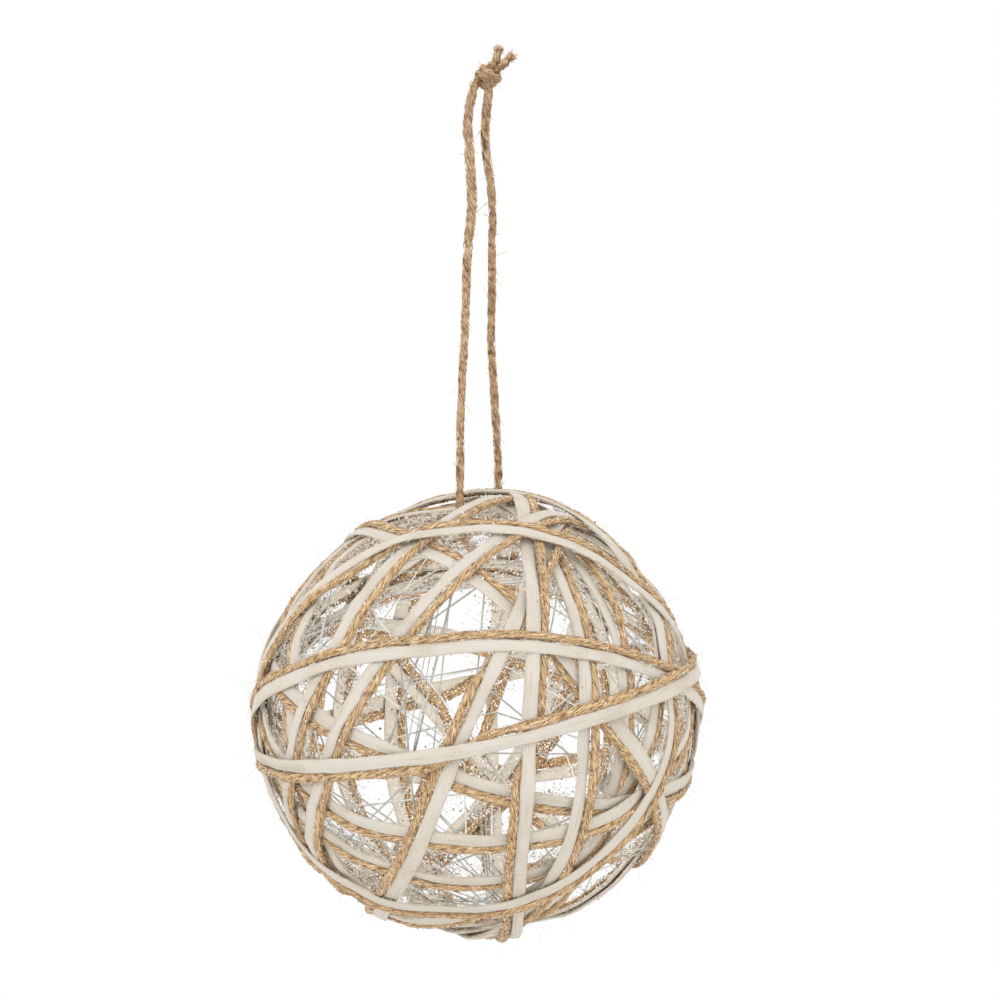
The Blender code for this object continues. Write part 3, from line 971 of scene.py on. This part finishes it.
class BAUBLE_OT_hanging_loop(bpy.types.Operator):
    """Twist the hanging loop's two strands of jute twine and tie their knot"""
    bl_idname = "bauble.hanging_loop"
    bl_label = "Hanging Loop"

    def execute(self, context):
        loop = context.scene.bauble_loop
        size, lay_length = loop.twine_diameter, context.scene.bauble_windings.lay_length
        knot = self.knot(loop.knot_twine, lay_length)
        ends = [self.cut_end(side, loop.knot_twine, lay_length) for side in CUT_ENDS]
        for side, route in STRANDS.items():
            points = smooth_line((*route, INTO_KNOT[side]), 0.5 * MM)
            loose = np.interp(points[:, 2] / MM, *LOOSENESS[side])
            strand = self.twine(f"{side}_strand_twine", f"loop_strand_{side}", points, size,
                                lay_length, 700 + len(side), loose)
            line = smooth_line(route, 2 * MM)
            float(travelled(line)[-1])
        return {"FINISHED"}

    def twine(self, name, solid, points, size, lay_length, seed, swell, raggedness=0.05):
        """A length of twine along points, thicker or thinner on its way, in its solid's place."""
        sides, outs = carried_frames(points)
        rings = twine_rings(points, sides, outs, size, size, lay_length,
                            np.random.default_rng(seed), 16, raggedness=raggedness)
        rings = points[:, None] + (rings - points[:, None]) * swell[:, None, None]
        piece = skin(name, rings, False, jute_finish("loop_twine", LOOP_SHADE))
        stands_for(piece, solid)
        return piece

    def knot(self, size, lay_length):
        """The overhand knot: two wraps of twine leaning round the strands that pass through."""
        axis = unit(np.array((0.74, -0.05, 0.67)))
        front = unit(np.cross(axis, (0.67, 0.0, -0.74)))
        turns = np.linspace(-0.35, 2.35, 90)
        squeeze = np.clip((turns - 2.0) / 0.35, 0.0, 1.0) + np.clip((-0.05 - turns) / 0.3, 0.0, 1.0)
        points = at_angle(KNOT_CENTRE + axis * ((turns - 1.0)[:, None] * 1.55 * MM), front,
                          np.cross(axis, front), FULL_TURN * turns, (1.9 - 1.1 * squeeze) * MM)
        return self.twine("overhand_knot", "loop_knot", points, size, lay_length * 0.8, 41,
                          np.ones(len(points)), raggedness=0.1)

    def cut_end(self, side, size, lay_length):
        """A short end of twine that opens out where it is cut."""
        points = smooth_line((tuple(KNOT_CENTRE / MM), *CUT_ENDS[side]), 0.35 * MM)
        return self.twine(f"{side}_cut_end", f"loop_end_{side}", points, size, lay_length,
                          50 + len(side), np.linspace(0.85, 1.08, len(points)))


class BAUBLE_OT_white_cords(bpy.types.Operator):
    """Wind the turns of flat white paper cord"""
    bl_idname = "bauble.white_cords"
    bl_label = "White Cords"

    def execute(self, context):
        settings = context.scene.bauble_windings
        for strand in strands_of("white_cord"):
            rings = BALL_CENTRE + cord_rings(strand, settings)
            piece = skin(f"paper_cord_{strand.turn:02d}", rings, True, paper_finish())
            stands_for(piece, strand.node)
        return {"FINISHED"}


class BAUBLE_OT_jute_twines(bpy.types.Operator):
    """Wind the turns of jute twine beside the white cords"""
    bl_idname = "bauble.jute_twines"
    bl_label = "Jute Twines"

    def execute(self, context):
        settings = context.scene.bauble_windings
        finish = jute_finish("jute_twine", (1.0, 1.0, 1.0))
        for strand in strands_of("jute_twine"):
            points = strand.fine_line(TWINE_STATIONS, settings.wander)
            _, side, out = ring_frames(points)
            random = np.random.default_rng(500 + strand.turn)
            rings = twine_rings(points, side, out, settings.twine_width, settings.twine_thickness,
                                settings.lay_length * 1.5, random, closed=True, ply_depth=0.06,
                                raggedness=0.08)
            piece = skin(f"twisted_twine_{strand.turn:02d}", BALL_CENTRE + rings, True, finish)
            stands_for(piece, strand.node)
        return {"FINISHED"}


class BAUBLE_OT_silver_wires(bpy.types.Operator):
    """Finish the heavier silver wires and string the finer ones between the cords"""
    bl_idname = "bauble.silver_wires"
    bl_label = "Silver Wires"

    def execute(self, context):
        settings = context.scene.bauble_wires
        for name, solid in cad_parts.items():
            if name.startswith("silver_wire"):
                solid.data.materials.clear()
                solid.data.materials.append(wire_finish())
        random = np.random.default_rng(77)
        self.fine_wires(settings, random)
        self.tinsel(settings, random)
        return {"FINISHED"}

    def fine_wires(self, settings, random):
        """Wires that run to and fro in fans between two places on the windings."""
        anchors = inner_lines()
        wires, diameters = [], []
        while len(wires) < settings.fans * settings.wires_in_fan:
            first, second = random.integers(len(anchors), size=2)
            start, end = random.integers(STATIONS, size=2)
            apart = np.linalg.norm(anchors[first][start] - anchors[second][end])
            if not WIRE_REACH[0] < apart < WIRE_REACH[1]:
                continue
            for _ in range(settings.wires_in_fan):
                near = anchors[first][(start + random.integers(-2, 3)) % STATIONS]
                far = anchors[second][(end + random.integers(-4, 5)) % STATIONS]
                wires.append((near, far))
                diameters.append(settings.fine_thickness * random.choice(WIRE_GAUGES))
        rides(thin_tubes("fine_wires", BALL_CENTRE + wires, diameters, wire_finish(), corners=6,
                         tip=1.0, across=(0.0, 1.0, 0.02), closed_ends=True))

    def tinsel(self, settings, random):
        """Curled threads that lie among the windings, all inside their shell."""
        centres, inward = gathered_spots(random)
        pick = random.integers(len(centres), size=settings.threads)
        roots = centres[pick] + random.normal(size=(len(pick), 3)) * 1.3 * MM
        ahead = unit(np.cross(inward[pick], random.normal(size=(len(pick), 3))))
        lengths = sizes_about(random, len(pick), *TINSEL_LENGTHS)
        threads = hair_lines(random, roots, ahead, inward[pick] * 0.4, lengths, 1.2)
        threads *= np.minimum(1.0, TINSEL_WITHIN / np.linalg.norm(threads, axis=2))[..., None]
        piece = thin_tubes("tinsel_threads", BALL_CENTRE + threads, TINSEL_THICKNESS, wire_finish())
        rides(piece)


class BAUBLE_OT_glitter(bpy.types.Operator):
    """Scatter glitter flakes over the windings' inner faces, the twine and the gaps"""
    bl_idname = "bauble.glitter"
    bl_label = "Glitter"

    def execute(self, context):
        settings = context.scene.bauble_glitter
        wander = context.scene.bauble_windings.wander
        random = np.random.default_rng(2024)
        stuck = [self.on_winding(strand, settings, wander, random) for strand in wound_strands()]
        centres, inward = gathered_spots(random)
        pick = random.integers(len(centres), size=settings.loose)
        spread = random.normal(size=(len(pick), 3)) * random.choice(SCATTER, len(pick))[:, None] * MM
        deep = (spread * inward[pick]).sum(axis=1, keepdims=True) * inward[pick]
        held = centres[pick] + spread - deep * 0.6
        held *= np.minimum(1.0, FLAKES_WITHIN / np.linalg.norm(held, axis=1))[:, None]
        facing = unit(inward[pick] + random.normal(size=(len(pick), 3)))
        self.flakes("loose_glitter", held, facing, settings, random)
        self.flakes("winding_glitter", *map(np.concatenate, zip(*stuck)), settings, random)
        return {"FINISHED"}

    def on_winding(self, strand, settings, wander, random):
        """Places and directions of the flakes on a turn: most inside it, more on the twine."""
        fifths, outer = GLITTERED[strand.kind]
        share = settings.on_windings * fifths // 5
        points = strand.fine_line(FINE_STATIONS, wander)
        _, side, out = ring_frames(points)
        pick = random.integers(FINE_STATIONS, size=share)
        across = random.uniform(-1.0, 1.0, share)[:, None]
        outside = random.uniform(size=share)[:, None] < outer
        height = np.where(outside, 0.5, -0.5) * strand.thickness * np.sqrt(1.05 - across ** 2)
        place = (points[pick] + side[pick] * across * strand.width * 0.56
                 + out[pick] * (height * 1.12 + np.where(outside, 0.03, -0.06) * MM))
        return place, unit(out[pick] + random.normal(size=(share, 3)) * 0.6)

    def flakes(self, name, places, normals, settings, random):
        sizes = sizes_about(random, len(places), settings.flake_size, FLAKE_SPREAD)
        piece = flake_mesh(name, BALL_CENTRE + places, normals, sizes, random, glitter_finish())
        rides(piece)


class BAUBLE_OT_loose_fibres(bpy.types.Operator):
    """Raise the loose jute fibres that lie along the twine and stand off it"""
    bl_idname = "bauble.loose_fibres"
    bl_label = "Loose Fibres"

    def execute(self, context):
        settings = context.scene.bauble_fibres
        windings = context.scene.bauble_windings
        random = np.random.default_rng(88)
        fibres = [self.on_winding(strand, settings, windings, random)
                  for strand in strands_of("jute_twine")]
        lying, roots, aheads, outs = map(np.concatenate, zip(*fibres))
        thickness = settings.thickness
        self.fibres("lying_fibres", BALL_CENTRE + lying, thickness * 2.2)
        lengths = sizes_about(random, len(roots), *FIBRE_LENGTHS)
        standing = hair_lines(random, roots, aheads, outs, lengths, 0.7)
        self.fibres("standing_fibres", BALL_CENTRE + standing, thickness)
        self.fibres("binding_threads", self.bindings(), thickness * 3.5)
        radius = context.scene.bauble_loop.twine_diameter / 2
        on_loop = [lines for side in STRANDS for lines in self.on_strand(side, radius, random)]
        tufts = [self.tuft(route, random) for route in CUT_ENDS.values()]
        on_loop = np.concatenate((*on_loop, *tufts, self.on_knot(random)))
        self.fibres("loop_fibres", on_loop, thickness * 2.0)
        return {"FINISHED"}

    def fibres(self, name, lines, thickness):
        rides(thin_tubes(name, lines, thickness, fibre_finish()))

    def on_winding(self, strand, settings, windings, random):
        """The fibres lying on a turn of twine, and the roots and directions of those that stand.

        More of them stand at the ball's left and right, where it is rubbed.
        """
        points = strand.fine_line(TWINE_STATIONS, windings.wander)
        ahead, side, out = ring_frames(points)
        pick = random.integers(TWINE_STATIONS, size=settings.lying // len(TURNS))
        step = np.arange(4)
        angle = random.uniform(-0.3, math.pi + 0.3, len(pick))[:, None] + step * 0.12
        place = (pick[:, None] + step) % TWINE_STATIONS
        lift = random.uniform(0.0, 0.12, angle.shape) * MM
        lying = at_angle(points[place], side[place], out[place], angle,
                         windings.twine_width / 2 + lift, windings.twine_thickness / 2 + lift)
        rubbed = 0.3 + (np.abs(points[:, 0]) / SHELL_RADIUS) ** 4 * 2.0
        pick = random.choice(TWINE_STATIONS, settings.standing // len(TURNS), p=rubbed / rubbed.sum())
        away = at_angle(0.0, side[pick], out[pick], random.uniform(0, math.pi, len(pick)), 1.0)
        return lying, points[pick] + away * 0.6 * MM, ahead[pick], away

    def on_strand(self, side, radius, random, lying=700, standing=90):
        """Fibres that lie along a strand of the loop, and fibres that stand off it."""
        points = smooth_line(STRANDS[side], 0.5 * MM)
        ahead = unit(np.gradient(points, axis=0))
        sides, outs = carried_frames(points)
        step = np.arange(6)
        pick = random.integers(len(points) - len(step), size=lying)[:, None] + step
        angle = random.uniform(0, FULL_TURN, len(pick))[:, None] + step * 0.2
        thick = np.interp(points[pick][..., 2] / MM, *LOOSENESS[side]) * radius
        thick = thick + random.uniform(0.0, 0.1, pick.shape) * MM
        flat = at_angle(points[pick], sides[pick], outs[pick], angle, thick)
        pick = random.integers(len(points), size=standing)
        away = at_angle(0.0, sides[pick], outs[pick], random.uniform(0, FULL_TURN, len(pick)), 1.0)
        lengths = sizes_about(random, len(pick), *LOOP_FIBRE_LENGTHS)
        roots = points[pick] + away * 0.8 * MM
        return flat, hair_lines(random, roots, ahead[pick], away, lengths, 0.8)

    def tuft(self, route, random, count=110):
        """The fibres that open out where an end is cut."""
        tip, before = np.array(route[-1]) * MM, np.array(route[-2]) * MM
        ahead = unit(tip - before)
        spread = random.normal(size=(count, 3)) * 0.45 * MM
        roots = tip - ahead * 0.9 * MM + spread
        start = unit(ahead + spread / (1.6 * MM) + random.normal(size=(count, 3)) * 0.08)
        reach = random.uniform(0.7, 1.3, count)[:, None, None] * MM
        return roots[:, None] + start[:, None] * reach * np.linspace(0, 1, 6)[None, :, None]

    def on_knot(self, random, count=240):
        """Short fibres all over the knot."""
        about = unit(random.normal(size=(count, 3))) * random.uniform(1.9, 2.5, count)[:, None] * MM
        along = unit(np.cross(about, random.normal(size=(count, 3))))
        return hair_lines(random, KNOT_CENTRE + about, along, about / (6 * MM),
                          random.uniform(0.8, 2.2, count) * MM, 0.9)

    def bindings(self):
        """Pale threads bound round the front strand at the knot, and two long stray fibres."""
        turns = np.linspace(0.0, 3.6, 60)
        angle = FULL_TURN * turns
        bound = np.stack((-1.75 + np.cos(angle) * 1.1 + turns * 0.12, -0.1 + np.sin(angle) * 1.1,
                          0.4 + turns * 0.42 - np.cos(angle) * 0.25), axis=1)
        along = np.linspace(0.0, 1.0, len(turns))[:, None]
        sag = np.sin(math.pi * along)
        strays = [np.array(start) * (1 - along) + np.array(end) * along + np.array(bow) * sag
                  for start, end, bow in STRAY_FIBRES]
        return np.stack((bound, *strays)) * MM


class BAUBLE_PT_sidebar(bpy.types.Panel):
    """Every piece of the bauble and its settings"""
    bl_idname = "BAUBLE_PT_sidebar"
    bl_label = "Wire Christmas Bauble"
    bl_space_type = "VIEW_3D"
    bl_region_type = "UI"
    bl_category = "Bauble"

    def draw(self, context):
        layout = self.layout
        for name in SETTINGS:
            settings = getattr(context.scene, name)
            box = layout.box()
            for key in settings.__annotations__:
                box.prop(settings, key)
        for operator in OPERATORS:
            layout.operator(operator.bl_idname)


SETTINGS = {
    "bauble_windings": BaubleWindings,
    "bauble_loop": BaubleLoop,
    "bauble_wires": BaubleWires,
    "bauble_glitter": BaubleGlitter,
    "bauble_fibres": BaubleFibres,
    "bauble_finish": BaubleFinish,
    "bauble_studio": BaubleStudio,
}
OPERATORS = (
    BAUBLE_OT_studio,
    BAUBLE_OT_hanging_loop,
    BAUBLE_OT_white_cords,
    BAUBLE_OT_jute_twines,
    BAUBLE_OT_silver_wires,
    BAUBLE_OT_glitter,
    BAUBLE_OT_loose_fibres,
)


def register():
    for settings in SETTINGS.values():
        bpy.utils.register_class(settings)
    for name, settings in SETTINGS.items():
        setattr(bpy.types.Scene, name, PointerProperty(type=settings))
    for operator in OPERATORS:
        bpy.utils.register_class(operator)
    bpy.utils.register_class(BAUBLE_PT_sidebar)


def unregister():
    bpy.utils.unregister_class(BAUBLE_PT_sidebar)
    for operator in reversed(OPERATORS):
        bpy.utils.unregister_class(operator)
    for name, settings in SETTINGS.items():
        delattr(bpy.types.Scene, name)
        bpy.utils.unregister_class(settings)


def main():
    register()
    bpy.ops.bauble.studio()
    bpy.ops.bauble.hanging_loop()
    bpy.ops.bauble.white_cords()
    bpy.ops.bauble.jute_twines()
    bpy.ops.bauble.silver_wires()
    bpy.ops.bauble.glitter()
    bpy.ops.bauble.loose_fibres()


if __name__ == "__main__":
    main()
